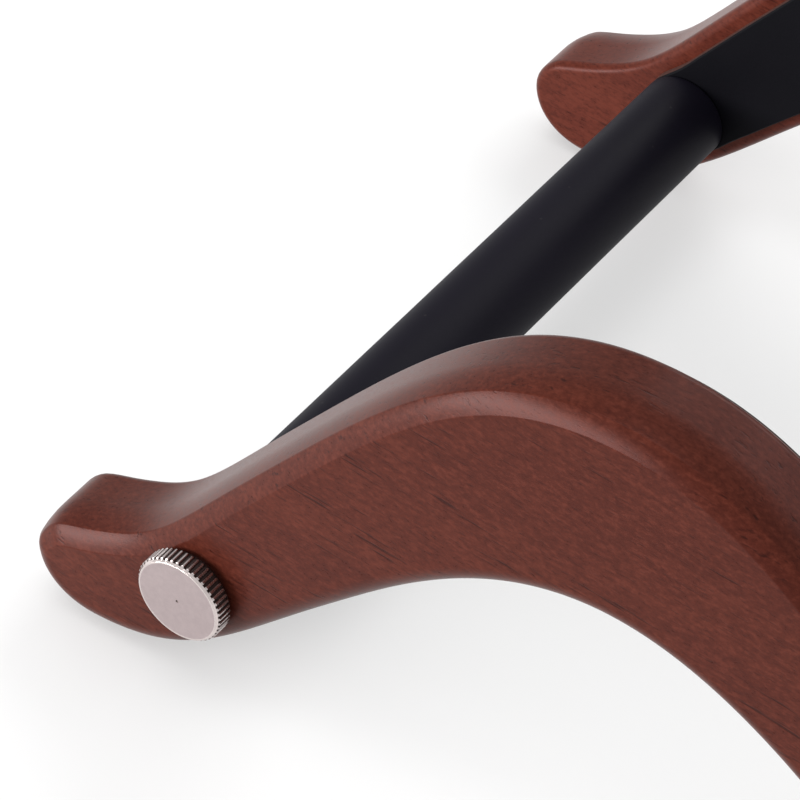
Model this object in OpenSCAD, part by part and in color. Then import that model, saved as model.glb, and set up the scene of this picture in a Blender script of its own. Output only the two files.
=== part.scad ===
// Low floor rest for a string instrument: two arched hardwood rails stand
// parallel, lined on the inside, and are clamped onto two padded cross tubes
// by knurled thumb screws. X runs along the rails, Y from the front rail (-Y)
// to the rear rail, and Z is up from the floor. The origin is on the floor, midway
// between the rails. Everything left of the middle is mirrored to the right.

/* [Rails] */
// Distance over the outer faces of the two rails
rail_spread = 204; // [180:1:240]
// Thickness of a rail
rail_t = 20; // [18:0.5:24]
// Top of the arch above the floor
crest_z = 118.7; // [112:0.1:124]
// Underside of the arch above the floor
arch_z = 71; // [66:0.5:76]
// Half the length of a rail, to the nose of the toe
nose_x = 133.5; // [132:0.5:138]
// Lowest point of a rail above the floor
sole_z = 1.7; // [1.2:0.1:2.5]
// Width of the bowed bevel along the top outer edges, seen from the side
bevel_w = 5.2; // [4:0.1:5.4]
// Depth of that bevel into the rail's thickness
bevel_t = 2.6; // [2:0.1:3.2]
// Rise of the crowned top from the bevel to its ridge
crown_h = 1.3; // [0.8:0.1:1.8]
// Depth at which the crowned top is level
crown_t = 9.8; // [8:0.1:12]
// Radius routed along the lower outer edges
outer_r = 4.8; // [3:0.1:5.4]
// Radius sanded along the inner edges
inner_r = 2.2; // [1:0.1:2.5]

/* [Lining] */
// Thickness of the lining glued to each inner face
liner_t = 3; // [2:0.25:4]
// Bare wood left above the lining
liner_top_rim = 4.2; // [4.1:0.1:5]
// Bare wood left below the lining
liner_low_rim = 3.7; // [3.6:0.1:4.5]
// Radius of the lining's ends, round the cross tubes
liner_end_r = 10.1; // [9:0.1:10.2]

/* [Cross tubes] */
// Half the distance between the two tube axes
tube_x = 91.5; // [88:0.5:94]
// Height of the tube axes above the floor
tube_z = 27.5; // [26:0.1:29]
// Outside diameter of the steel tube
tube_d = 14; // [12:0.5:15]
// Wall of the steel tube
tube_wall = 1.5; // [1:0.25:2]
// Outside diameter of the foam sleeve
sleeve_d = 20.4; // [18:0.2:22]
// Depth that a tube end is let into the rail
tube_seat = 4; // [2:0.5:6]

/* [Thumb screws] */
// Outside diameter of the knurled head
head_d = 20; // [18:0.5:24]
// Thickness of the knurled head
head_t = 4.7; // [4:0.1:8]
// Number of straight knurl ridges
knurl_n = 48; // [40:1:72]
// Depth of the knurl grooves
knurl_depth = 0.45; // [0.3:0.05:0.6]
// Thread diameter of the shank
thread_d = 6; // [5:1:6]
// Length of the shank
shank_l = 30; // [26:0.5:32]
// Thickness of the washer under the head
washer_t = 0.6; // [0.5:0.1:1.5]
// Outside diameter of the washer
washer_d = 16; // [12:0.5:18]
// Length of the threaded insert in the tube end
insert_l = 18; // [12:1:24]

/* [Feet] */
// Diameter of a rubber foot
foot_d = 12; // [8:0.5:12]
// Height of a rubber foot
foot_h = 4.5; // [3.5:0.5:6]
// Distance of each foot from the middle along the rail
foot_x = 117; // [112:0.5:120]

/* [Hidden] */
$fn = 64;

front = -1;
rear = 1;
left = -1;
right = 1;

outer_y = rail_spread / 2;
inner_y = outer_y - rail_t;
lining_y = inner_y - liner_t;
tube_end_y = inner_y + tube_seat;
sliding_fit = 0.05;
tube_seat_gap = 0.1;
screw_hole_r = thread_d / 2 + 0.3;
insert_r = tube_d / 2 - tube_wall - sliding_fit;
foot_y = outer_y - rail_t / 2 - 1;

// The left half of the rail's outline, as cubic curves joined end to end.
// toe is where the round nose runs into the top of the toe.
toe = [6.9 - nose_x, 24.4];
toe_rise = 18;
shoulder = [-78.2, 63.3];
shoulder_rise = 48.6;
armpit = [-60, 38];
armpit_rise = 42;
sole = [-118, sole_z];
nose = [-nose_x, 15.4];

function heading(angle) = [cos(angle), sin(angle)];

toe_top = [toe, toe + 25.5 * heading(toe_rise), shoulder - 38.5 * heading(shoulder_rise), shoulder];
hump_top = [shoulder, shoulder + 44.5 * heading(shoulder_rise), [-30, crest_z], [0, crest_z]];
hump_under = [[0, arch_z], [-25, arch_z], armpit + 18.5 * heading(armpit_rise), armpit];
toe_under = [armpit, armpit - 34 * heading(armpit_rise), sole + [24, 0], sole];
nose_under = [sole, sole - [9.5, 0], nose - [0, 7.4], nose];
nose_front = [nose, nose + [0, 4.2], toe - 3.3 * heading(toe_rise), toe];

// A point on a cubic curve, and a run of points that leaves out the last one.
function cubic(c, t) =
    pow(1 - t, 3) * c[0] + 3 * pow(1 - t, 2) * t * c[1]
    + 3 * (1 - t) * pow(t, 2) * c[2] + pow(t, 3) * c[3];
function run(c, steps) = [for (i = [0 : steps - 1]) cubic(c, i / steps)];

upper_half = concat(run(toe_top, 12), run(hump_top, 12));
lower_half = concat(
    run(hump_under, 9), run(toe_under, 11), run(nose_under, 8), run(nose_front, 6)
);

function flipped(points) = [for (i = [len(points) - 1 : -1 : 0]) [-points[i].x, points[i].y]];

// The whole outline, clockwise from the crest: right half, then left half.
left_half = concat(lower_half, upper_half);
outline = concat([[0, crest_z]], flipped([for (i = [1 : len(left_half) - 1]) left_half[i]]), left_half);
outline_n = len(outline);

// Each outline point has a direction that insets both of its edges by 1.
function unit(v) = v / norm(v);
function edge_inward(i) =
    let (e = unit(outline[(i + 1) % outline_n] - outline[i % outline_n])) [e.y, -e.x];
function inward(i) =
    let (a = edge_inward(i + outline_n - 1), b = edge_inward(i)) (a + b) / (1 + a * b);
outline_inward = [for (i = [0 : outline_n - 1]) inward(i)];

// Edge shapes from the face inward, as [depth below the face, inset] pairs.
function round_edge(r, n) = [for (k = [0 : n]) [r * (1 - cos(90 * k / n)), r * (1 - sin(90 * k / n))]];
bevel_in = bevel_w - crown_h;
bevel_edge = [
    [0, bevel_w],
    [0.38 * bevel_t, crown_h + 0.45 * bevel_in],
    [bevel_t, crown_h],
    [(bevel_t + crown_t) / 2, crown_h / 4],
    [crown_t, 0]
];
lower_edge = round_edge(outer_r, len(bevel_edge) - 1);
inner_edge = round_edge(inner_r, 2);

// The bevel fades into the plain radius round the nose, where the outline turns down.
level_slope = 0.6;
function fade(t) = let (u = max(0, min(1, t))) u * u * (3 - 2 * u);
bevel_share = [for (i = [0 : outline_n - 1]) fade(-outline_inward[i].y / level_slope)];
function ring_point(i, depth, inset, y) = let (p = outline[i] + inset * outline_inward[i]) [p.x, y - depth, p.y];
function outer_ring(k) = [for (i = [0 : outline_n - 1])
    let (e = bevel_share[i] * bevel_edge[k] + (1 - bevel_share[i]) * lower_edge[k])
        ring_point(i, e[0], e[1], outer_y)];
function inner_ring(k) = [for (i = [0 : outline_n - 1])
    ring_point(i, -inner_edge[k][0], inner_edge[k][1], inner_y)];
rail_rings = concat(
    [for (k = [0 : len(bevel_edge) - 1]) outer_ring(k)],
    [for (k = [len(inner_edge) - 1 : -1 : 0]) inner_ring(k)]
);
ring_count = len(rail_rings);

// The rail's blank with all its edges rounded, on the +Y side.
module rail_blank() {
    points = [for (ring = rail_rings) each ring];
    sides = [
        for (k = [0 : ring_count - 2])
            for (i = [0 : outline_n - 1])
                let (j = (i + 1) % outline_n, a = k * outline_n, b = a + outline_n)
                    each [[a + i, a + j, b + j], [a + i, b + j, b + i]]
    ];
    outer_cap = [for (i = [outline_n - 1 : -1 : 0]) i];
    inner_cap = [for (i = [0 : outline_n - 1]) (ring_count - 1) * outline_n + i];
    polyhedron(points = points, faces = concat([outer_cap], sides, [inner_cap]), convexity = 4);
}

// A cylinder along Y between two distances from the middle, on the +Y side.
module along_y(r, y_near, y_far) {
    translate([0, y_near, 0]) rotate([-90, 0, 0]) cylinder(r = r, h = y_far - y_near);
}

module at_tube(side) {
    translate([side * tube_x, 0, tube_z]) children();
}

// Builds on the +Y side and mirrors to the front where asked.
module on_side(end) {
    if (end == rear) children();
    else mirror([0, 1, 0]) children();
}

module rail(end) {
    color([0.45, 0.22, 0.17]) on_side(end) difference() {
        rail_blank();
        for (side = [left, right]) {
            at_tube(side) along_y(tube_d / 2 + tube_seat_gap, inner_y - 1, tube_end_y);
            at_tube(side) along_y(screw_hole_r, inner_y, outer_y + 1);
            translate([side * foot_x, foot_y, -1]) cylinder(r = foot_d / 2 + tube_seat_gap, h = foot_h + 1);
        }
    }
}

// The lining follows the rail between the tubes and ends in an arc round each of them,
// from where the rail's top edge is nearest the tube to where its lower edge is.
end_top_angle = 132.5;
end_low_angle = 311.4;
arc_steps = 24;
left_end = [for (k = [0 : arc_steps])
    [-tube_x, tube_z]
    + liner_end_r * heading(end_low_angle + k * (end_top_angle - end_low_angle) / arc_steps)];
top_reach = tube_x - 9 * cos(end_top_angle);
low_reach = tube_x - 13 * cos(end_low_angle);
function is_top(i) = outline_inward[i].y < 0;
function top_span(side) = [for (i = [0 : outline_n - 1])
    if (is_top(i) && side * outline[i].x > 0 && abs(outline[i].x) < top_reach)
        outline[i] + liner_top_rim * outline_inward[i]];
low_span = [for (i = [0 : outline_n - 1])
    if (!is_top(i) && abs(outline[i].x) < low_reach) outline[i] + liner_low_rim * outline_inward[i]];
liner_outline = concat(
    [[0, crest_z - liner_top_rim]], top_span(right), flipped(left_end), low_span, left_end, top_span(left)
);

module liner(end) {
    color([0.12, 0.12, 0.13]) on_side(end) difference() {
        translate([0, inner_y, 0]) rotate([90, 0, 0]) linear_extrude(liner_t) polygon(liner_outline);
        for (side = [left, right])
            at_tube(side) along_y(tube_d / 2 + tube_seat_gap, lining_y - 1, inner_y + 1);
    }
}

module tube(side) {
    color([0.6, 0.6, 0.62]) at_tube(side) difference() {
        along_y(tube_d / 2, -tube_end_y, tube_end_y);
        along_y(tube_d / 2 - tube_wall, -tube_end_y - 1, tube_end_y + 1);
    }
}

module sleeve(side) {
    color([0.1, 0.1, 0.11]) at_tube(side) difference() {
        along_y(sleeve_d / 2, -lining_y, lining_y);
        along_y(tube_d / 2 + sliding_fit, -lining_y - 1, lining_y + 1);
    }
}

module insert(end, side) {
    color([0.72, 0.58, 0.3]) on_side(end) at_tube(side) difference() {
        along_y(insert_r, tube_end_y - insert_l, tube_end_y);
        along_y(thread_d / 2 + sliding_fit, tube_end_y - insert_l - 1, tube_end_y + 1);
    }
}

module washer(end, side) {
    color([0.75, 0.75, 0.76]) on_side(end) at_tube(side) difference() {
        along_y(washer_d / 2, outer_y, outer_y + washer_t);
        along_y(screw_hole_r, outer_y - 1, outer_y + washer_t + 1);
    }
}

rim_t = 0.5;
head_y = outer_y + washer_t;
valley_r = head_d / 2 - knurl_depth;
rim_r = valley_r - 0.1;
knurl = [for (i = [0 : 2 * knurl_n - 1])
    (i % 2 == 0 ? head_d / 2 : valley_r) * heading(180 * i / knurl_n)];

module screw(end, side) {
    color([0.78, 0.75, 0.75]) on_side(end) at_tube(side) {
        along_y(thread_d / 2, head_y - shank_l, head_y);
        along_y(rim_r, head_y, head_y + rim_t);
        translate([0, head_y + head_t - rim_t, 0]) rotate([90, 0, 0])
            linear_extrude(head_t - 2 * rim_t) polygon(knurl);
        translate([0, head_y + head_t - rim_t, 0]) rotate([-90, 0, 0])
            cylinder(r1 = rim_r, r2 = rim_r - 0.3, h = rim_t);
    }
}

module foot(end, side) {
    color([0.15, 0.15, 0.15]) on_side(end)
        translate([side * foot_x, foot_y, 0]) cylinder(d = foot_d, h = foot_h);
}

rail(front);  // front_rail
rail(rear);  // rear_rail
liner(front);  // front_liner
liner(rear);  // rear_liner
tube(left);  // left_tube
tube(right);  // right_tube
sleeve(left);  // left_sleeve
sleeve(right);  // right_sleeve
insert(front, left);  // front_left_insert
insert(front, right);  // front_right_insert
insert(rear, left);  // rear_left_insert
insert(rear, right);  // rear_right_insert
washer(front, left);  // front_left_washer
washer(front, right);  // front_right_washer
washer(rear, left);  // rear_left_washer
washer(rear, right);  // rear_right_washer
screw(front, left);  // front_left_screw
screw(front, right);  // front_right_screw
screw(rear, left);  // rear_left_screw
screw(rear, right);  // rear_right_screw
foot(front, left);  // front_left_foot
foot(front, right);  // front_right_foot
foot(rear, left);  // rear_left_foot
foot(rear, right);  // rear_right_foot
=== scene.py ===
"""Looks of the wooden instrument floor rest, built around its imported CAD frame."""

import math

import bmesh
import bpy
import numpy as np
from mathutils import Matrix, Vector, noise


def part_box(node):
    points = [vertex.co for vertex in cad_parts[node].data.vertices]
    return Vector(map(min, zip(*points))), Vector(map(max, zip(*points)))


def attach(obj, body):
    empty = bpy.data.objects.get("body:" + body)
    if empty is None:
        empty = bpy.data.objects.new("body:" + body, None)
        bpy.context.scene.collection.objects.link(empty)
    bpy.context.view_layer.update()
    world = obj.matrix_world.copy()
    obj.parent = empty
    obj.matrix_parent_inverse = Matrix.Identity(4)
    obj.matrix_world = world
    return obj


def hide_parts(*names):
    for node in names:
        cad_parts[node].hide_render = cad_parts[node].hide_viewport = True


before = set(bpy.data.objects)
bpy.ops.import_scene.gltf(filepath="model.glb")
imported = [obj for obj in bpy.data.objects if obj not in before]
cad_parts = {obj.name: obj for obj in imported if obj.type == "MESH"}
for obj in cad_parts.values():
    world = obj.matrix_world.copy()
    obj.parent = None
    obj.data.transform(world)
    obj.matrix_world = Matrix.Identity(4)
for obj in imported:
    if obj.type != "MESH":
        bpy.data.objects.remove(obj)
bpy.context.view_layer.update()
MM = 0.001
ENDS = {"front": -1, "rear": 1}
SIDES = {"left": -1, "right": 1}


# ---------------------------------------------------------------- places from the frame

def middle(node):
    low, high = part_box(node)
    return (low + high) / 2


def reach(node, axis):
    """Largest distance of a node from the middle plane along an axis."""
    low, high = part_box(node)
    return max(abs(low[axis]), abs(high[axis]))


def nearest(node, axis):
    """Smallest distance of a node from the middle plane along an axis."""
    low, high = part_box(node)
    return min(abs(low[axis]), abs(high[axis]))


def half_width(node):
    low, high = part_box(node)
    return (high.x - low.x) / 2


TUBE_R = half_width("left_tube")
TUBE_X = reach("left_tube", 0) - TUBE_R
TUBE_Z = middle("left_tube").z
TUBE_END_Y = reach("left_tube", 1)
SLEEVE_R = half_width("left_sleeve")
OUTER_Y = reach("front_rail", 1)
INNER_Y = nearest("front_rail", 1)
LINING_Y = nearest("front_liner", 1)
FOOT_X = abs(middle("front_left_foot").x)
FOOT_Y = abs(middle("front_left_foot").y)
FOOT_R = half_width("front_left_foot")
FOOT_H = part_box("front_left_foot")[1].z
WASHER_R = half_width("front_left_washer")
HEAD_BASE_Y = reach("front_left_washer", 1)
HEAD_TOP_Y = reach("front_left_screw", 1)
SHANK_END_Y = nearest("front_left_screw", 1)
HEAD_R = half_width("front_left_screw")
INSERT_R = half_width("front_left_insert")
INSERT_END_Y = nearest("front_left_insert", 1)

# Sizes that the boxes don't show.
THREAD_R = 3.0 * MM
THREAD_PITCH = 1.0 * MM
SCREW_HOLE_R = 3.3 * MM
SEAT_GAP = 0.1 * MM
SLIDING_FIT = 0.05 * MM
TUBE_BORE_R = 5.5 * MM
KNURL_RIDGES = 48


# ---------------------------------------------------------------- camera

CAMERA_AZIMUTH = math.radians(34.9)
CAMERA_ELEVATION = math.radians(42.2)
CAMERA_DISTANCE = 0.7102
CAMERA_LENS = 180
LOOK_RIGHT = 0.0492
LOOK_UP = 0.0745


def make_camera():
    """Looks at a point on the front rail's face, up and to the right of its left screw."""
    target = Vector((-TUBE_X + LOOK_RIGHT, -OUTER_Y, TUBE_Z + LOOK_UP))
    back = Vector((
        math.cos(CAMERA_ELEVATION) * math.sin(CAMERA_AZIMUTH),
        -math.cos(CAMERA_ELEVATION) * math.cos(CAMERA_AZIMUTH),
        math.sin(CAMERA_ELEVATION),
    ))
    data = bpy.data.cameras.new("camera")
    data.lens = CAMERA_LENS
    data.clip_start = 0.01
    data.clip_end = 50
    camera = bpy.data.objects.new("camera", data)
    camera.location = target + back * CAMERA_DISTANCE
    camera.rotation_euler = back.to_track_quat("Z", "Y").to_euler()
    bpy.context.scene.collection.objects.link(camera)
    bpy.context.scene.camera = camera


make_camera()


# ---------------------------------------------------------------- material helpers

class Nodes:
    """A material's node tree, with short ways to add what the materials here share."""

    def __init__(self, name):
        self.material = bpy.data.materials.new(name)
        self.material.use_nodes = True
        self.tree = self.material.node_tree
        self.shader = self.tree.nodes["Principled BSDF"]
        self.place = self.add("ShaderNodeTexCoord").outputs["Object"]

    def add(self, kind, **settings):
        node = self.tree.nodes.new(kind)
        for key, value in settings.items():
            setattr(node, key, value)
        return node

    def link(self, output, target):
        self.tree.links.new(output, target)

    def stretched(self, x, y, z):
        """Object coordinates times a number per axis, in features per metre."""
        mapping = self.add("ShaderNodeMapping")
        mapping.inputs["Scale"].default_value = (x, y, z)
        self.link(self.place, mapping.inputs["Vector"])
        return mapping.outputs["Vector"]

    def lean(self, angle):
        """Turns the coordinates that later calls use about the Y axis."""
        node = self.add("ShaderNodeVectorRotate", rotation_type="Y_AXIS")
        node.inputs["Angle"].default_value = angle
        self.link(self.place, node.inputs["Vector"])
        self.place = node.outputs["Vector"]

    def noise(self, coords, detail=3.0, rough=0.5, distortion=0.0):
        node = self.add("ShaderNodeTexNoise")
        node.inputs["Scale"].default_value = 1.0
        node.inputs["Detail"].default_value = detail
        node.inputs["Roughness"].default_value = rough
        node.inputs["Distortion"].default_value = distortion
        self.link(coords, node.inputs["Vector"])
        return node.outputs["Fac"]

    def cells(self, coords):
        node = self.add("ShaderNodeTexVoronoi")
        node.inputs["Scale"].default_value = 1.0
        self.link(coords, node.inputs["Vector"])
        return node.outputs["Distance"]

    def band(self, value, low, high, out_low=0.0, out_high=1.0):
        """Maps low..high onto out_low..out_high, held at the ends."""
        node = self.add("ShaderNodeMapRange", clamp=True)
        node.inputs["From Min"].default_value = low
        node.inputs["From Max"].default_value = high
        node.inputs["To Min"].default_value = out_low
        node.inputs["To Max"].default_value = out_high
        self.link(value, node.inputs["Value"])
        return node.outputs["Result"]

    def ramp(self, value, stops):
        node = self.add("ShaderNodeValToRGB")
        elements = node.color_ramp.elements
        while len(elements) < len(stops):
            elements.new(0.5)
        for element, (position, colour) in zip(elements, stops):
            element.position = position
            element.color = (*colour, 1)
        self.link(value, node.inputs["Fac"])
        return node.outputs["Color"]

    def blend(self, factor, under, colour):
        """Mixes a constant colour over the one underneath."""
        node = self.add("ShaderNodeMix", data_type="RGBA")
        self.link(factor, node.inputs["Factor"])
        self.link(under, node.inputs["A"])
        node.inputs["B"].default_value = (*colour, 1)
        return node.outputs["Result"]

    def math(self, operation, a, b):
        node = self.add("ShaderNodeMath", operation=operation)
        for socket, value in zip(node.inputs, (a, b)):
            if isinstance(value, (int, float)):
                socket.default_value = value
            else:
                self.link(value, socket)
        return node.outputs["Value"]

    def bump(self, height, strength, distance, under=None):
        node = self.add("ShaderNodeBump")
        node.inputs["Strength"].default_value = strength
        node.inputs["Distance"].default_value = distance
        self.link(height, node.inputs["Height"])
        if under is not None:
            self.link(under, node.inputs["Normal"])
        return node.outputs["Normal"]

    def set(self, **values):
        for key, value in values.items():
            self.shader.inputs[key.replace("_", " ")].default_value = value

    def drive(self, **outputs):
        for key, output in outputs.items():
            self.link(output, self.shader.inputs[key.replace("_", " ")])


def wood_material(name, tone):
    """Beech stained red-brown under satin lacquer. Its grain runs along X and leans down a
    little to the right. tone brightens or darkens the whole board."""
    m = Nodes(name)
    m.lean(math.radians(-7.5))
    cloud = m.noise(m.stretched(22, 70, 70), detail=4.0, rough=0.55)
    mottle = m.noise(m.stretched(650, 1250, 1250), detail=3.0, rough=0.65, distortion=0.2)
    streak = m.noise(m.stretched(60, 900, 900), detail=2.0, rough=0.5)
    colour = m.ramp(cloud, [
        (position, tuple(tone * c for c in stain)) for position, stain in (
            (0.30, (0.050, 0.0104, 0.0063)),
            (0.50, (0.057, 0.0122, 0.0072)),
            (0.70, (0.065, 0.0143, 0.0083)),
        )
    ])
    colour = m.blend(m.band(mottle, 0.36, 0.52, 0.46, 0.0), colour, (0.029, 0.0060, 0.0040))
    colour = m.blend(m.band(mottle, 0.52, 0.66, 0.0, 0.42), colour, (0.097, 0.0232, 0.0142))
    colour = m.blend(m.band(streak, 0.40, 0.66, 0.0, 0.22), colour, (0.030, 0.0060, 0.0040))
    line = m.noise(m.stretched(80, 1150, 1150), detail=2.0, rough=0.5)
    where = m.noise(m.stretched(55, 190, 190), detail=1.0)
    line = m.math("MULTIPLY", m.band(line, 0.60, 0.70), m.band(where, 0.46, 0.57))
    dash = m.noise(m.stretched(330, 2300, 2300), detail=1.0, rough=0.4)
    dash = m.band(dash, 0.66, 0.74, 0.0, 0.45)
    dash = m.math("MAXIMUM", line, dash)
    colour = m.blend(m.math("MULTIPLY", dash, 0.68), colour, (0.011, 0.0030, 0.0025))
    m.drive(Base_Color=colour)
    m.drive(Roughness=m.band(mottle, 0.3, 0.7, 0.27, 0.34))
    pores = m.bump(dash, 0.22, -0.00008)
    m.drive(Normal=m.bump(mottle, 0.10, 0.00007, under=pores))
    m.set(Specular_IOR_Level=0.115, Specular_Tint=(1.0, 0.58, 0.55, 1))
    return m.material


def foam_material():
    """Black closed-cell foam with a smooth skin and a little dust."""
    m = Nodes("black_foam_skin")
    cloud = m.noise(m.stretched(60, 25, 60), detail=3.0)
    cell = m.noise(m.stretched(5200, 5200, 5200), detail=2.0, rough=0.6)
    speck = m.band(m.cells(m.stretched(150, 150, 150)), 0.035, 0.06, 1.0, 0.0)
    colour = m.ramp(cloud, [(0.35, (0.0044, 0.0037, 0.0073)), (0.65, (0.0056, 0.0047, 0.0091))])
    colour = m.blend(m.math("MULTIPLY", speck, 0.18), colour, (0.060, 0.056, 0.055))
    m.drive(Base_Color=colour, Roughness=m.band(cloud, 0.3, 0.7, 0.50, 0.58))
    m.drive(Normal=m.bump(cell, 0.16, 0.00005))
    m.set(Specular_IOR_Level=0.072)
    return m.material


def lining_material():
    """Black smooth lining with a fine pebbled grain."""
    m = Nodes("black_lining")
    pebble = m.cells(m.stretched(1500, 1500, 1500))
    cloud = m.noise(m.stretched(50, 50, 50), detail=3.0)
    fine = m.noise(m.stretched(6000, 6000, 6000), detail=1.0)
    colour = m.ramp(cloud, [(0.3, (0.0010, 0.0009, 0.0020)), (0.7, (0.0016, 0.0014, 0.0028))])
    m.drive(Base_Color=colour)
    m.drive(Roughness=m.band(cloud, 0.3, 0.7, 0.55, 0.64))
    coarse = m.bump(m.band(pebble, 0.0, 0.7), 0.18, 0.00006)
    m.drive(Normal=m.bump(fine, 0.10, 0.00003, under=coarse))
    m.set(Specular_IOR_Level=0.065)
    return m.material


def lining_edge_material():
    """The cut edge of the lining: brown fibres that the black face doesn't cover."""
    m = Nodes("lining_cut_edge")
    fibre = m.noise(m.stretched(900, 3500, 900), detail=3.0, rough=0.7)
    colour = m.ramp(fibre, [(0.35, (0.036, 0.015, 0.012)), (0.65, (0.076, 0.036, 0.030))])
    m.drive(Base_Color=colour)
    m.drive(Normal=m.bump(fibre, 0.4, 0.0001))
    m.set(Roughness=0.85, Specular_IOR_Level=0.08)
    return m.material


def nickel_material(name, roughness, grain, colour):
    """Satin nickel: a faint blasted grain, stronger on the flat face than on the rim."""
    m = Nodes(name)
    blast = m.noise(m.stretched(4200, 4200, 4200), detail=2.0, rough=0.6)
    cloud = m.noise(m.stretched(900, 900, 900), detail=3.0, rough=0.6)
    dark = tuple(0.93 * c for c in colour)
    m.drive(Base_Color=m.ramp(cloud, [(0.35, dark), (0.65, colour)]))
    m.drive(Roughness=m.band(blast, 0.3, 0.7, roughness - 0.04, roughness + 0.05))
    m.drive(Normal=m.bump(blast, grain, 0.00003))
    m.set(Metallic=1.0)
    return m.material


def metal_material(name, colour, roughness):
    """Drawn or turned metal, with lines that run round the Y axis."""
    m = Nodes(name)
    lines = m.noise(m.stretched(120, 5200, 120), detail=2.0)
    dark = tuple(0.8 * c for c in colour)
    m.drive(Base_Color=m.ramp(lines, [(0.35, dark), (0.65, colour)]))
    m.drive(Roughness=m.band(lines, 0.3, 0.7, roughness - 0.05, roughness + 0.08))
    m.drive(Normal=m.bump(lines, 0.12, 0.00003))
    m.set(Metallic=1.0)
    return m.material


def rubber_material():
    m = Nodes("foot_rubber_matte")
    grain = m.noise(m.stretched(2600, 2600, 2600), detail=3.0, rough=0.6)
    m.drive(Base_Color=m.ramp(grain, [(0.3, (0.016, 0.016, 0.016)), (0.7, (0.028, 0.028, 0.028))]))
    m.drive(Normal=m.bump(grain, 0.3, 0.00006))
    m.set(Roughness=0.75)
    return m.material


# The rear rail takes the same stain 1.45 times lighter: painted light, for the rear rail's
# brighter look.
FRONT_WOOD = wood_material("stained_beech_satin", 1.0)
REAR_WOOD_PAINTED_LIGHTER = wood_material("stained_beech_satin_painted_lighter", 1.45)
FOAM = foam_material()
LINING = lining_material()
LINING_EDGE = lining_edge_material()
# The face's nickel is set darker than real nickel and than the rim: painted shade, for a dimmer
# reflection on the flat face.
NICKEL_FACE_PAINTED_SHADE = nickel_material("nickel_face_painted_shade", 0.40, 0.08, (0.43, 0.356, 0.357))
NICKEL_RIM = nickel_material("nickel_rim", 0.22, 0.02, (0.70, 0.62, 0.60))
NICKEL_KNURL = nickel_material("nickel_knurl", 0.26, 0.05, (0.52, 0.46, 0.45))
# The groove nickel is a little tarnish plus painted shade: its dark colour paints the shade in the
# knurl's grooves and in the punched dot.
NICKEL_GROOVE_TARNISH_AND_SHADE = nickel_material("nickel_groove_tarnish_and_shade", 0.50, 0.10, (0.090, 0.070, 0.066))
STEEL = metal_material("tube_steel", (0.50, 0.50, 0.52), 0.32)
BRASS = metal_material("insert_brass", (0.62, 0.45, 0.18), 0.30)
ZINC = metal_material("washer_zinc", (0.55, 0.55, 0.57), 0.30)
RUBBER = rubber_material()


# ---------------------------------------------------------------- piece helpers

SHARP_ANGLE = math.radians(32)
ROUND_SEGMENTS = 64
OVERCUT = 2 * MM
HOLE_MARGIN = 1.5 * MM


def add_piece(name, mesh, body, node, materials):
    """Adds a mesh as the piece that stands for a CAD node."""
    piece = bpy.data.objects.new(name, mesh)
    bpy.context.scene.collection.objects.link(piece)
    for material in materials:
        mesh.materials.append(material)
    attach(piece, body)
    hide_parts(node)
    return piece


def clean_mesh(name, bm):
    """Turns a bmesh into a mesh with outward normals and its sharp edges crisp."""
    bmesh.ops.remove_doubles(bm, verts=bm.verts, dist=0.000001)
    bmesh.ops.recalc_face_normals(bm, faces=bm.faces)
    mesh = bpy.data.meshes.new(name)
    bm.to_mesh(mesh)
    bm.free()
    shade(mesh)
    return mesh


def shade(mesh):
    """Smooth faces, with the edges sharper than SHARP_ANGLE kept crisp."""
    bm = bmesh.new()
    bm.from_mesh(mesh)
    for face in bm.faces:
        face.smooth = True
    for edge in bm.edges:
        edge.smooth = len(edge.link_faces) == 2 and edge.calc_face_angle(0) < SHARP_ANGLE
    bm.to_mesh(mesh)
    bm.free()


def weigh_normals(piece):
    """Keeps flat faces flat where they meet small rounded ones."""
    modifier = piece.modifiers.new("weighted", "WEIGHTED_NORMAL")
    modifier.keep_sharp = True
    modifier.mode = "FACE_AREA"


def apply_modifiers(piece):
    with bpy.context.temp_override(object=piece, active_object=piece):
        for modifier in list(piece.modifiers):
            bpy.ops.object.modifier_apply(modifier=modifier.name)


def cut(piece, cutters):
    """Takes closed meshes out of a piece."""
    for cutter in cutters:
        tool = bpy.data.objects.new("cutter", cutter)
        bpy.context.scene.collection.objects.link(tool)
        modifier = piece.modifiers.new("cut", "BOOLEAN")
        modifier.operation = "DIFFERENCE"
        modifier.solver = "EXACT"
        modifier.object = tool
        apply_modifiers(piece)
        bpy.data.objects.remove(tool)
        bpy.data.meshes.remove(cutter)


def turned(name, profile, centre, segments, direction=(0, 1, 0), relief=None, closed=False):
    """A surface of revolution. profile has (radius, distance along the axis) points, and
    relief(angle, radius, distance) may change each radius. A closed profile is a ring's
    section; an open one starts and ends on the axis. Face material indices come from
    profile entries with a third number."""
    along = Vector(direction)
    across = along.orthogonal().normalized()
    other = along.cross(across)
    bm = bmesh.new()
    rings = []
    for point in profile:
        radius, distance = point[:2]
        ring = []
        for k in range(segments):
            angle = 2 * math.pi * k / segments
            r = relief(angle, radius, distance) if relief and radius > 0 else radius
            sideways = across * math.cos(angle) + other * math.sin(angle)
            spot = centre + along * distance + sideways * r
            ring.append(bm.verts.new(spot))
        rings.append(ring)
    pairs = list(zip(range(len(rings) - 1), range(1, len(rings))))
    if closed:
        pairs.append((len(rings) - 1, 0))
    for a, b in pairs:
        index = profile[b][2] if len(profile[b]) > 2 else 0
        for k in range(segments):
            n = (k + 1) % segments
            face = bm.faces.new((rings[a][k], rings[a][n], rings[b][n], rings[b][k]))
            face.material_index = index
    bmesh.ops.dissolve_degenerate(bm, edges=bm.edges, dist=0.0000005)
    return clean_mesh(name, bm)


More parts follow.
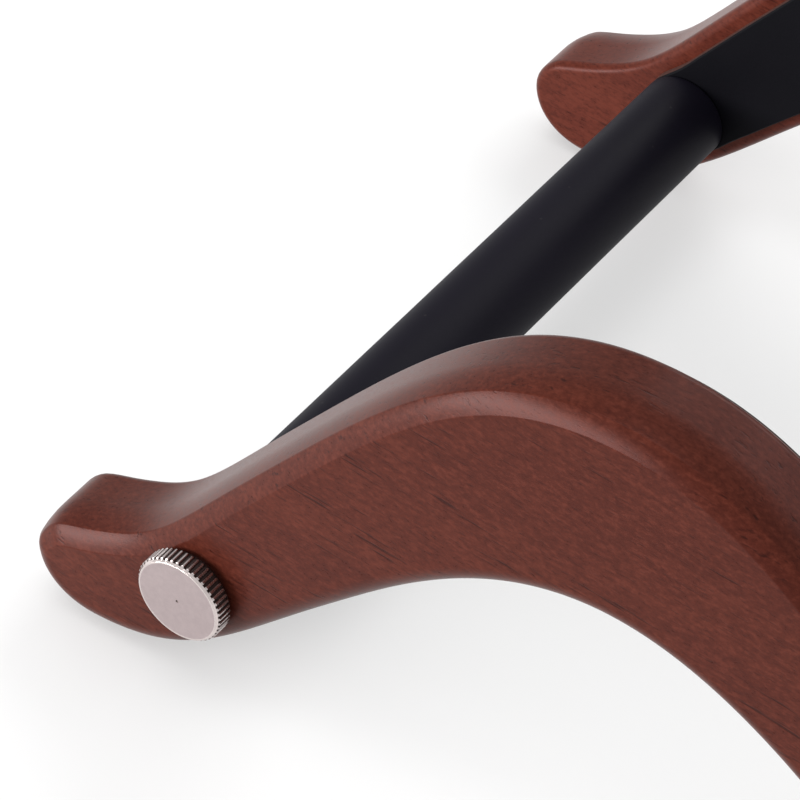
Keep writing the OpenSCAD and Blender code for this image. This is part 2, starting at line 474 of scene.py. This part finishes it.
def filleted(points, radius, steps=4, closed=False):
    """A polyline with each corner rounded by a radius, less where an edge is short."""
    path = []
    count = len(points)
    for i, point in enumerate(points):
        here = np.array(point[:2], float)
        tail = tuple(point[2:])
        if not closed and i in (0, count - 1):
            path.append((*here, *tail))
            continue
        before = np.array(points[i - 1][:2], float)
        after = np.array(points[(i + 1) % count][:2], float)
        back = (before - here) / np.linalg.norm(before - here)
        ahead = (after - here) / np.linalg.norm(after - here)
        half = math.acos(max(-1, min(1, float(back @ ahead)))) / 2
        room = 0.45 * min(np.linalg.norm(before - here), np.linalg.norm(after - here))
        reach_back = min(radius / math.tan(half), room) if half < 1.56 else 0
        if reach_back < 1e-7:
            path.append((*here, *tail))
            continue
        start = here + back * reach_back
        end = here + ahead * reach_back
        for k in range(steps + 1):
            t = k / steps
            spot = (1 - t) ** 2 * start + 2 * t * (1 - t) * here + t ** 2 * end
            path.append((*spot, *tail))
    return path


# ---------------------------------------------------------------- outlines from the frame

def face_loop(node, y, clear_of_tubes):
    """The outline of a node's flat face at a height y, as ordered (x, z) points. Points
    nearer than clear_of_tubes to a tube axis belong to its holes and are left out."""
    found = set()
    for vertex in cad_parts[node].data.vertices:
        x, vy, z = vertex.co
        hole = math.hypot(abs(x) - TUBE_X, z - TUBE_Z) < clear_of_tubes
        if abs(vy - y) < 0.00001 and not hole:
            found.add((round(x, 6), round(z, 6)))
    rest = sorted(found)
    loop = [rest.pop(0)]
    while rest:
        nearest_next = min(rest, key=lambda p: math.dist(p, loop[-1]))
        rest.remove(nearest_next)
        loop.append(nearest_next)
    points = np.array(loop)
    return points if signed_area(points) > 0 else points[::-1]


def signed_area(points):
    ahead = np.roll(points, -1, axis=0)
    return float(np.sum(points[:, 0] * ahead[:, 1] - ahead[:, 0] * points[:, 1]) / 2)


def grown(points, distance):
    """A counter-clockwise polygon with every edge moved outward by a distance."""
    edges = np.roll(points, -1, axis=0) - points
    edges /= np.linalg.norm(edges, axis=1)[:, None]
    outward = np.column_stack([edges[:, 1], -edges[:, 0]])
    before = np.roll(outward, 1, axis=0)
    scale = 1 + np.sum(outward * before, axis=1)
    return points + distance * (outward + before) / scale[:, None]


def spline(points, step):
    """Points at an even step on the natural cubic spline through the given ones."""
    chord = np.r_[0, np.cumsum(np.linalg.norm(np.diff(points, axis=0), axis=1))]
    h = np.diff(chord)
    count = len(points)
    system = np.eye(count)
    load = np.zeros((count, 2))
    for i in range(1, count - 1):
        system[i, i - 1:i + 2] = h[i - 1], 2 * (h[i - 1] + h[i]), h[i]
        load[i] = 6 * ((points[i + 1] - points[i]) / h[i] - (points[i] - points[i - 1]) / h[i - 1])
    bend = np.linalg.solve(system, load)
    places = np.linspace(0, chord[-1], max(2, round(chord[-1] / step)) + 1)
    spans = np.clip(np.searchsorted(chord, places, side="right") - 1, 0, count - 2)
    a = ((chord[spans + 1] - places) / h[spans])[:, None]
    b = 1 - a
    hh = (h[spans] ** 2 / 6)[:, None]
    return (
        a * points[spans] + b * points[spans + 1]
        + ((a ** 3 - a) * bend[spans] + (b ** 3 - b) * bend[spans + 1]) * hh
    )


def smooth_outline(points, step):
    """A closed outline through the given points, with no corners."""
    overlap = 6
    curve = spline(np.vstack([points[-overlap:], points, points[:overlap + 1]]), step)
    away = np.linalg.norm(curve - points[0], axis=1)
    half = len(curve) // 2
    return curve[np.argmin(away[:half]):half + np.argmin(away[half:])]


def inward_directions(points):
    """Unit directions into a counter-clockwise outline."""
    ahead = np.roll(points, -1, axis=0) - points
    behind = points - np.roll(points, 1, axis=0)
    tangent = ahead / np.linalg.norm(ahead, axis=1)[:, None]
    tangent += behind / np.linalg.norm(behind, axis=1)[:, None]
    tangent /= np.linalg.norm(tangent, axis=1)[:, None]
    return np.column_stack([-tangent[:, 1], tangent[:, 0]])


def round_edge(radius, count):
    """A quarter round, as (depth, inset) points from a face to the wall beside it."""
    turn = np.linspace(0, math.pi / 2, count)
    return radius * np.column_stack([1 - np.cos(turn), 1 - np.sin(turn)])


def bow(start, pull, end, steps):
    """Points on the curve that leaves start towards pull and reaches end from pull."""
    t = np.array(steps)[:, None]
    start, pull, end = np.array(start), np.array(pull), np.array(end)
    return (1 - t) ** 2 * start + 2 * t * (1 - t) * pull + t ** 2 * end


def slab(name, outline, y_inner, y_outer, inner_edge, outer_edge, side, wall_index=0):
    """A plate between two distances from the middle plane. Each edge is a run of (depth, inset)
    pairs from its face to the wall, and a pair may hold one number per outline point.
    side is -1 for the front and 1 for the rear."""
    inward = inward_directions(outline)
    count = len(outline)
    levels = [(y_outer - depth, inset) for depth, inset in outer_edge]
    levels += [(y_inner + depth, inset) for depth, inset in inner_edge[::-1]]
    bm = bmesh.new()
    loops = []
    for level, inset in levels:
        flat = outline + inward * np.reshape(inset, (-1, 1))
        heights = side * np.broadcast_to(level, count)
        loops.append([bm.verts.new((x, y, z)) for (x, z), y in zip(flat, heights)])
    for k, (a, b) in enumerate(zip(loops, loops[1:])):
        for i in range(count):
            j = (i + 1) % count
            face = bm.faces.new((a[i], a[j], b[j], b[i]))
            face.material_index = wall_index if k < len(outer_edge) else 0
    bm.faces.new(loops[0])
    bm.faces.new(loops[-1])
    bmesh.ops.recalc_face_normals(bm, faces=bm.faces)
    mesh = bpy.data.meshes.new(name)
    bm.to_mesh(mesh)
    bm.free()
    return mesh


def drum(radius, y_near, y_far, x, z, segments=ROUND_SEGMENTS):
    """A closed cylinder along Y, to cut with."""
    profile = [(0, y_near), (radius, y_near), (radius, y_far), (0, y_far)]
    return turned("drum", profile, Vector((x, 0, z)), segments)


def post(radius, z_low, z_high, x, y):
    """A closed cylinder along Z, to cut with."""
    profile = [(0, z_low), (radius, z_low), (radius, z_high), (0, z_high)]
    return turned("post", profile, Vector((x, y, 0)), ROUND_SEGMENTS, direction=(0, 0, 1))


# ---------------------------------------------------------------- rails

OUTLINE_STEP = 1.5 * MM
SCREW_HOLE_SEGMENTS = 40
LOWER_EDGE_R = 4.8 * MM
INNER_EDGE_R = 2.2 * MM

# The top outer edge's section, as (depth, inset) points: the bevel's start on the face, the
# crease where it meets the top, the ridge of the top, and the points that bow the two parts.
FACE_EDGE = (0, 5.2 * MM)
BEVEL_BOW = (1.12 * MM, 2.68 * MM)
CREASE = (2.6 * MM, 1.3 * MM)
CROWN_BOW = (6.2 * MM, 0)
RIDGE = (9.8 * MM, 0)
BEVEL_STEPS = (0, 0.06, 0.25, 0.5, 0.75, 0.94, 1)
CROWN_STEPS = (0.04, 0.2, 0.4, 0.6, 0.8, 1)

# The outline's upward slant from which the bevel is whole. It fades out at a vertical wall.
LEVEL_SLANT = 0.6

inner_outline = face_loop("rear_rail", INNER_Y, TUBE_R + HOLE_MARGIN)
rail_low, rail_high = [(corner.x, corner.z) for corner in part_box("rear_rail")]
inner_inset = (rail_high[0] - rail_low[0] - np.ptp(inner_outline[:, 0])) / 2
rail_outline = smooth_outline(grown(inner_outline, inner_inset), OUTLINE_STEP)
rail_outline = np.clip(rail_outline, rail_low, rail_high)


def rail_outer_edge():
    """The bevel and the crowned top where the outline faces up, and a plain round elsewhere."""
    bevelled = np.vstack([
        bow(FACE_EDGE, BEVEL_BOW, CREASE, BEVEL_STEPS),
        bow(CREASE, CROWN_BOW, RIDGE, CROWN_STEPS),
    ])
    plain = round_edge(LOWER_EDGE_R, len(bevelled))
    slant = np.clip(-inward_directions(rail_outline)[:, 1] / LEVEL_SLANT, 0, 1)
    share = slant ** 2 * (3 - 2 * slant)
    return [
        [share * b + (1 - share) * p for b, p in zip(bevel_point, plain_point)]
        for bevel_point, plain_point in zip(bevelled, plain)
    ]


def make_rail(end):
    side = ENDS[end]
    mesh = slab(f"{end}_rail_wood", rail_outline, INNER_Y, OUTER_Y,
                round_edge(INNER_EDGE_R, 7), rail_outer_edge(), side)
    wood = REAR_WOOD_PAINTED_LIGHTER if end == "rear" else FRONT_WOOD
    rail = add_piece(f"{end}_rail_wood", mesh, "frame", f"{end}_rail", [wood])
    cutters = []
    for way in SIDES.values():
        x = way * TUBE_X
        near, far = sorted((side * (INNER_Y - OVERCUT), side * TUBE_END_Y))
        cutters.append(drum(TUBE_R + SEAT_GAP, near, far, x, TUBE_Z))
        near, far = sorted((side * (INNER_Y + OVERCUT), side * (OUTER_Y + OVERCUT)))
        cutters.append(drum(SCREW_HOLE_R, near, far, x, TUBE_Z, SCREW_HOLE_SEGMENTS))
        cutters.append(post(FOOT_R + SEAT_GAP, -OVERCUT, FOOT_H, way * FOOT_X, side * FOOT_Y))
    cut(rail, cutters)
    shade(rail.data)
    weigh_normals(rail)
    apply_modifiers(rail)


for end in ENDS:
    make_rail(end)


# ---------------------------------------------------------------- linings

LINING_EDGE_R = 0.45 * MM
GLUED_EDGE_R = 0.05 * MM
LINING_STEP = 1.5 * MM

lining_corners = face_loop("rear_liner", LINING_Y, TUBE_R + HOLE_MARGIN)
lining_outline = smooth_outline(lining_corners, LINING_STEP)


def make_lining(end):
    side = ENDS[end]
    mesh = slab(f"{end}_lining", lining_outline, LINING_Y, INNER_Y,
                round_edge(LINING_EDGE_R, 4), round_edge(GLUED_EDGE_R, 3), side, 1)
    lining = add_piece(f"{end}_lining", mesh, "frame", f"{end}_liner",
                       [LINING, LINING_EDGE])
    near, far = sorted((side * (LINING_Y - OVERCUT), side * (INNER_Y + OVERCUT)))
    hole_r = TUBE_R + SEAT_GAP
    cut(lining, [drum(hole_r, near, far, way * TUBE_X, TUBE_Z) for way in SIDES.values()])
    shade(lining.data)
    weigh_normals(lining)
    apply_modifiers(lining)


for end in ENDS:
    make_lining(end)


# ---------------------------------------------------------------- cross tubes

SLEEVE_SEGMENTS = 96
SLEEVE_RINGS = 120
SLEEVE_UNEVEN = 0.05 * MM
SLEEVE_CORNER = 0.5 * MM
TUBE_SEGMENTS = 72
TUBE_EDGE_R = 0.3 * MM


def sleeve_profile():
    bore = TUBE_R + SLIDING_FIT
    corner = SLEEVE_CORNER
    length = LINING_Y
    skin = [(SLEEVE_R, y) for y in np.linspace(-length + corner, length - corner, SLEEVE_RINGS)]
    arc = [(SLEEVE_R - corner * (1 - math.cos(a)), corner * (1 - math.sin(a)))
           for a in np.linspace(math.pi / 2, math.pi / 8, 4)]
    start = [(r, -length + t) for r, t in arc]
    finish = [(r, length - t) for r, t in reversed(arc)]
    return [(bore, -length)] + start + skin + finish + [(bore, length)]


def make_cross_tube(side):
    x = SIDES[side] * TUBE_X
    axis_point = Vector((x, 0, TUBE_Z))

    def uneven(angle, radius, distance):
        if radius < SLEEVE_R - 1 * MM:
            return radius
        spot = Vector((math.cos(angle), math.sin(angle), distance * 40 + x * 10))
        return radius - SLEEVE_UNEVEN * (0.5 + 0.5 * noise.noise(spot))

    mesh = turned(f"{side}_foam_sleeve", sleeve_profile(), axis_point, SLEEVE_SEGMENTS,
                  relief=uneven, closed=True)
    sleeve = add_piece(f"{side}_foam_sleeve", mesh, "frame", f"{side}_sleeve",
                       [FOAM])
    corners = [(TUBE_BORE_R, -TUBE_END_Y), (TUBE_R, -TUBE_END_Y),
               (TUBE_R, TUBE_END_Y), (TUBE_BORE_R, TUBE_END_Y)]
    section = filleted(corners, TUBE_EDGE_R, steps=3, closed=True)
    mesh = turned(f"{side}_steel_tube", section, axis_point, TUBE_SEGMENTS, closed=True)
    add_piece(f"{side}_steel_tube", mesh, "frame", f"{side}_tube", [STEEL])


for side in SIDES:
    make_cross_tube(side)


# ---------------------------------------------------------------- screws, washers, inserts

KNURL_SAMPLES = 8
KNURL_DEPTH = 0.45 * MM
KNURL_FLOOR = 0.22
KNURL_FLANK = 0.42
GROOVE_LEVEL = 0.45
RIM_CHAMFER = 0.5 * MM
FACE_SINK = 0.03 * MM
HEAD_SHOULDER = 0.12 * MM
THREAD_DEPTH = 0.55 * MM
THREAD_SAMPLES = 8
SHANK_NECK = 1.5 * MM

# The head's materials by number, and their order in make_screw.
FACE_SLOT, RIM_SLOT, KNURL_SLOT, GROOVE_TARNISH_AND_SHADE_SLOT = range(4)


def knurl_shape(angle):
    """Height of the knurl, 0 in a groove and 1 on a ridge."""
    phase = (angle * KNURL_RIDGES / (2 * math.pi)) % 1.0
    slope = abs(phase - 0.5) * 2
    return min(1.0, max(0.0, (slope - KNURL_FLOOR) / KNURL_FLANK))


def head_profile(top):
    """From the base's centre, up the knurled side, to the punched dot in the face."""
    groove_r = HEAD_R - KNURL_DEPTH
    side_low = 0.45 * MM
    side_high = top - RIM_CHAMFER
    ridge_heights = np.linspace(side_low + 0.3 * MM, side_high - 0.25 * MM, 7)
    knurled = [(groove_r, side_low, KNURL_SLOT)]
    knurled += [(HEAD_R, height, KNURL_SLOT) for height in ridge_heights]
    knurled += [(groove_r + HEAD_SHOULDER, side_high, KNURL_SLOT)]
    rim = filleted([
        (groove_r + HEAD_SHOULDER, side_high, RIM_SLOT),
        (HEAD_R - 0.62 * MM, top, RIM_SLOT),
        (HEAD_R - 0.95 * MM, top - FACE_SINK, RIM_SLOT),
    ], 0.10 * MM, steps=3)[1:]
    face = [(r * MM, top - FACE_SINK, FACE_SLOT) for r in (8.0, 6.0, 4.0, 2.0, 0.7, 0.34)]
    # The punched dot takes the dark groove nickel: painted shade in the dot.
    dot = [(0.22 * MM, top - 0.16 * MM, GROOVE_TARNISH_AND_SHADE_SLOT), (0, top - 0.30 * MM, GROOVE_TARNISH_AND_SHADE_SLOT)]
    base = [
        (0, 0, RIM_SLOT),
        (groove_r - 0.55 * MM, 0, RIM_SLOT),
        (groove_r - 0.25 * MM, 0.12 * MM, RIM_SLOT),
    ]
    return base + knurled + rim + face + dot


def tarnish_and_shade_grooves(head, centre, radius):
    """Gives the knurl's faces that lie deeper than a radius the dark groove nickel: a little
    tarnish, and painted shade in the grooves.
    """
    for face in head.polygons:
        across = face.center - centre
        if face.material_index == KNURL_SLOT and math.hypot(across.x, across.z) < radius:
            face.material_index = GROOVE_TARNISH_AND_SHADE_SLOT


def make_screw(end, side):
    name = f"{end}_{side}"
    way = Vector((0, ENDS[end], 0))
    centre = Vector((SIDES[side] * TUBE_X, 0, TUBE_Z))
    head_base = centre + way * HEAD_BASE_Y
    groove_r = HEAD_R - KNURL_DEPTH

    def knurled(angle, radius, distance):
        if radius <= groove_r + 0.13 * MM:
            return radius
        return groove_r + (radius - groove_r) * knurl_shape(angle)

    top = HEAD_TOP_Y - HEAD_BASE_Y
    head = turned(f"{name}_head", head_profile(top), head_base, KNURL_RIDGES * KNURL_SAMPLES,
                  direction=way, relief=knurled)
    tarnish_and_shade_grooves(head, head_base, groove_r + GROOVE_LEVEL * KNURL_DEPTH)
    shank_length = HEAD_BASE_Y - SHANK_END_Y
    steps = int((shank_length - SHANK_NECK) / THREAD_PITCH * THREAD_SAMPLES)
    levels = [-shank_length + k * THREAD_PITCH / THREAD_SAMPLES for k in range(steps + 1)]
    root = THREAD_R - THREAD_DEPTH

    def thread(angle, radius, distance):
        """The radius of a right-hand thread, fading out at the tip and below the head."""
        if radius < THREAD_R - 0.05 * MM:
            return radius
        phase = (distance / THREAD_PITCH - angle / (2 * math.pi)) % 1.0
        crest = min(1.0, max(0.0, (abs(phase - 0.5) * 2 - 0.1) / 0.75))
        tip = min(1.0, (distance + shank_length) / (0.9 * MM))
        runout = min(1.0, max(0.0, (-distance - SHANK_NECK) / (1.0 * MM)))
        return root + THREAD_DEPTH * crest * tip * runout

    profile = [(0, levels[0]), (root - 0.25 * MM, levels[0])]
    profile += [(THREAD_R, level) for level in levels[1:]]
    profile += [(root, -SHANK_NECK * 0.5), (root, 0.2 * MM), (0, 0.2 * MM)]
    shank = turned(f"{name}_shank", profile, head_base, 32, direction=way, relief=thread)
    body = f"{name}_screw_body"
    add_piece(f"{name}_knurled_head", head, body, f"{name}_screw",
              [NICKEL_FACE_PAINTED_SHADE, NICKEL_RIM, NICKEL_KNURL, NICKEL_GROOVE_TARNISH_AND_SHADE])
    add_piece(f"{name}_threaded_shank", shank, body, f"{name}_screw", [NICKEL_KNURL])


def make_washer(end, side):
    name = f"{end}_{side}"
    way = Vector((0, ENDS[end], 0))
    centre = Vector((SIDES[side] * TUBE_X, 0, TUBE_Z))
    corners = [(SCREW_HOLE_R, OUTER_Y), (WASHER_R, OUTER_Y),
               (WASHER_R, HEAD_BASE_Y), (SCREW_HOLE_R, HEAD_BASE_Y)]
    mesh = turned(f"{name}_plated_washer", filleted(corners, 0.12 * MM, steps=3, closed=True),
                  centre, 72, direction=way, closed=True)
    add_piece(f"{name}_plated_washer", mesh, f"{name}_washer_body", f"{name}_washer",
              [ZINC])


def make_insert(end, side):
    name = f"{end}_{side}"
    way = Vector((0, ENDS[end], 0))
    centre = Vector((SIDES[side] * TUBE_X, 0, TUBE_Z))
    bore = THREAD_R + SLIDING_FIT

    def gripped(angle, radius, distance):
        inset = 1.5 * MM
        gripping = INSERT_END_Y + inset < distance < TUBE_END_Y - inset
        if radius < INSERT_R - 0.01 * MM or not gripping:
            return radius
        return radius - 0.2 * MM * (0.5 + 0.5 * math.cos(36 * angle))

    corners = [(bore, INSERT_END_Y), (INSERT_R, INSERT_END_Y)]
    corners += [(INSERT_R, y) for y in np.linspace(INSERT_END_Y + 1 * MM, TUBE_END_Y - 1 * MM, 9)]
    corners += [(INSERT_R, TUBE_END_Y), (bore, TUBE_END_Y)]
    mesh = turned(f"{name}_brass_insert", filleted(corners, 0.25 * MM, steps=3, closed=True),
                  centre, 144, direction=way, relief=gripped, closed=True)
    add_piece(f"{name}_brass_insert", mesh, "frame", f"{name}_insert", [BRASS])


def make_foot(end, side):
    name = f"{end}_{side}"
    spot = Vector((SIDES[side] * FOOT_X, ENDS[end] * FOOT_Y, 0))
    corners = [(0, 0), (FOOT_R, 0), (FOOT_R, FOOT_H), (0, FOOT_H)]
    mesh = turned(f"{name}_rubber_foot", filleted(corners, 0.5 * MM, steps=5), spot,
                  ROUND_SEGMENTS, direction=(0, 0, 1))
    add_piece(f"{name}_rubber_foot", mesh, "frame", f"{name}_foot", [RUBBER])


for end in ENDS:
    for side in SIDES:
        make_screw(end, side)
        make_washer(end, side)
        make_insert(end, side)
        make_foot(end, side)


# ---------------------------------------------------------------- studio

FLOOR_HALF = 6.0
FLOOR_GREY = 0.50
FLOOR_GLOW = 0.34
WORLD_STRENGTH = 0.76
LIGHT_AIM = Vector((0, 0, 0.05))


def make_floor():
    """A large pale floor that glows a little, to keep the shadows on it soft and light."""
    bm = bmesh.new()
    corners = ((-1, -1), (1, -1), (1, 1), (-1, 1))
    bm.faces.new([bm.verts.new((x * FLOOR_HALF, y * FLOOR_HALF, 0)) for x, y in corners])
    mesh = bpy.data.meshes.new("floor")
    bm.to_mesh(mesh)
    bm.free()
    m = Nodes("pale_floor")
    m.set(Base_Color=(FLOOR_GREY, FLOOR_GREY, FLOOR_GREY, 1), Roughness=0.9,
          Emission_Color=(1, 1, 1, 1), Emission_Strength=FLOOR_GLOW)
    mesh.materials.append(m.material)
    floor = bpy.data.objects.new("floor", mesh)
    bpy.context.scene.collection.objects.link(floor)


def add_softbox(name, azimuth, elevation, distance, size, power):
    """An area light aimed at the object. Azimuth 0 is on the camera's side, -Y, and 90 is +X."""
    a, e = math.radians(azimuth), math.radians(elevation)
    way = Vector((math.cos(e) * math.sin(a), -math.cos(e) * math.cos(a), math.sin(e)))
    data = bpy.data.lights.new(name, "AREA")
    data.shape = "RECTANGLE"
    data.size, data.size_y = size
    data.energy = power
    light = bpy.data.objects.new(name, data)
    light.location = LIGHT_AIM + way * distance
    light.rotation_euler = way.to_track_quat("Z", "Y").to_euler()
    bpy.context.scene.collection.objects.link(light)


def make_world():
    world = bpy.data.worlds.new("studio")
    world.use_nodes = True
    background = world.node_tree.nodes["Background"]
    background.inputs["Color"].default_value = (1, 1, 1, 1)
    background.inputs["Strength"].default_value = WORLD_STRENGTH
    bpy.context.scene.world = world


make_floor()
make_world()
add_softbox("front_wall", -38, 8, 1.3, (1.15, 0.40), 26)
add_softbox("back_soft", 180, 40, 1.4, (1.0, 0.6), 7.5)
add_softbox("back_right", 139, 36, 1.2, (0.8, 0.6), 3)
add_softbox("top_soft", -30, 75, 1.5, (0.8, 0.8), 4.5)
bpy.context.scene.view_settings.view_transform = "Standard"
